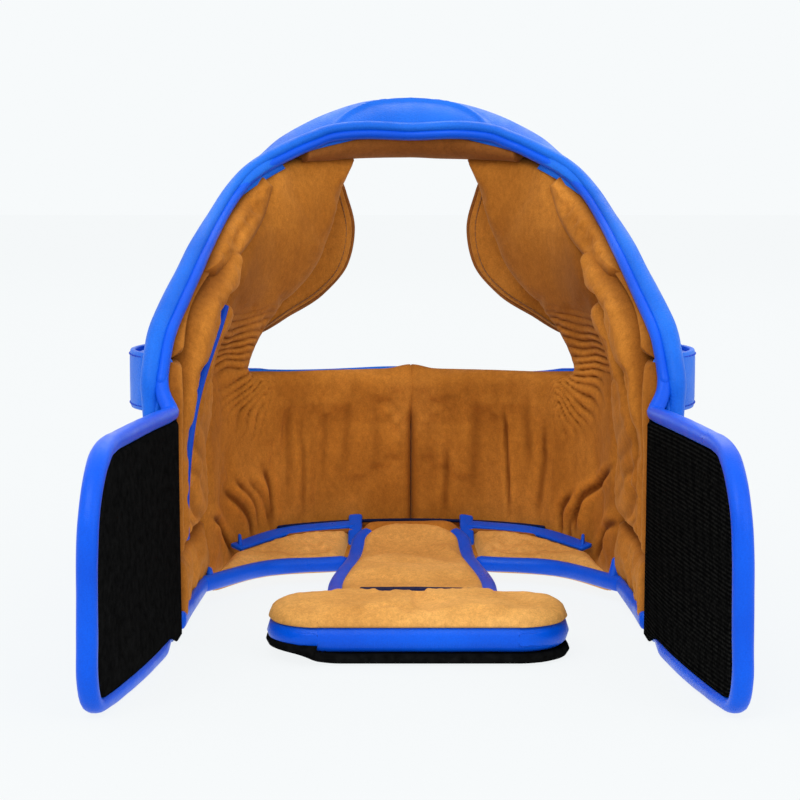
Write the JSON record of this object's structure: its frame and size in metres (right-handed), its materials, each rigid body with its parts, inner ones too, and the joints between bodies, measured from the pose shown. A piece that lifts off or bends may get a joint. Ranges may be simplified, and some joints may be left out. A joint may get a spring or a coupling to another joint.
{
  "type": "boxing headgear",
  "caption": "Padded boxing headgear with forehead, cheek and chin pads, ear openings, a crown tongue and a wrap-around rear touch-fastener closure, shown open.",
  "frame": {"origin": "middle of the footprint, on the surface that the headgear stands on, crown down", "axes": "+X to the right seen from behind, +Y out through the face opening, +Z from the crown to the chin"},
  "size_m": [0.2558, 0.3656, 0.2392],
  "materials": {
    "blue_leather": "satin",
    "blue_binding": "satin",
    "tan_suede": "matte",
    "padding_foam": "matte",
    "hook_fastener": "matte",
    "loop_fastener": "matte"
  },
  "bodies": {
    "shell": {"brow_binding": "blue_binding", "cheek_foam_left": "padding_foam", "cheek_foam_right": "padding_foam", "cheek_lining_left": "tan_suede", "cheek_lining_right": "tan_suede", "cheek_protector_left": "tan_suede", "cheek_protector_right": "tan_suede", "cheek_shell_left": "blue_leather", "cheek_shell_right": "blue_leather", "chin_foam": "padding_foam", "chin_lining": "tan_suede", "chin_shell": "blue_leather", "crown_centre_pad": "tan_suede", "crown_front_binding_left": "blue_binding", "crown_front_binding_right": "blue_binding", "crown_gusset": "tan_suede", "crown_lining_left": "tan_suede", "crown_lining_right": "tan_suede", "crown_panel_left": "padding_foam", "crown_panel_right": "padding_foam", "crown_rear_binding_left": "blue_binding", "crown_rear_binding_right": "blue_binding", "crown_tab_left": "blue_binding", "crown_tab_right": "blue_binding", "ear_bridge_strap_left": "blue_leather", "ear_bridge_strap_right": "blue_leather", "ear_pad_front_foam_left": "padding_foam", "ear_pad_front_foam_right": "padding_foam", "ear_pad_front_lining_left": "tan_suede", "ear_pad_front_lining_right": "tan_suede", "ear_pad_rear_foam_left": "padding_foam", "ear_pad_rear_foam_right": "padding_foam", "ear_pad_rear_lining_left": "tan_suede", "ear_pad_rear_lining_right": "tan_suede", "forehead_foam": "padding_foam", "forehead_lining_left": "tan_suede", "forehead_lining_right": "tan_suede", "forehead_shell": "blue_leather", "jaw_binding_left": "blue_binding", "jaw_binding_right": "blue_binding", "side_shell_left": "blue_leather", "side_shell_right": "blue_leather", "temple_foam_left": "padding_foam", "temple_foam_right": "padding_foam", "temple_lining_left": "tan_suede", "temple_lining_right": "tan_suede"},
    "tongue": {"tongue_foam": "padding_foam", "tongue_lining": "tan_suede", "tongue_binding_left": "blue_binding", "tongue_binding_right": "blue_binding"},
    "t_pad": {"t_pad_loop": "hook_fastener", "t_pad_body": "blue_leather", "t_pad_cushion": "tan_suede"},
    "wing_right": {"wing_shell_right": "blue_leather", "wing_patch_right": "hook_fastener", "wing_binding_right": "blue_binding"},
    "wing_left": {"wing_shell_left": "blue_leather", "wing_patch_left": "loop_fastener", "wing_binding_left": "blue_binding"}
  },
  "joints": [
    {"name": "right_wing_fold", "type": "hinge", "parent": "shell", "child": "wing_right", "pos_m": [0.101, -0.04258, 0], "axis": [0, 0, -1], "range_deg": [0, 84.5]},
    {"name": "left_wing_fold", "type": "hinge", "parent": "shell", "child": "wing_left", "pos_m": [-0.101, -0.04258, 0], "axis": [0, 0, 1], "range_deg": [0, 61.6]},
    {"name": "tongue_fold", "type": "hinge", "parent": "shell", "child": "tongue", "pos_m": [0, 0.08742, 0.014], "axis": [-1, 0, 0], "range_deg": [0, 16.1]},
    {"name": "t_pad_fold", "type": "hinge", "parent": "tongue", "child": "t_pad", "pos_m": [0, -0.04058, 0.014], "axis": [-1, 0, 0], "range_deg": [0, 74.1]}
  ],
  "couplings": [
    {"joint": "left_wing_fold", "follows": "right_wing_fold", "ratio": 0.72781},
    {"joint": "tongue_fold", "follows": "right_wing_fold", "ratio": 0.18935},
    {"joint": "t_pad_fold", "follows": "right_wing_fold", "ratio": 0.87574}
  ]
}
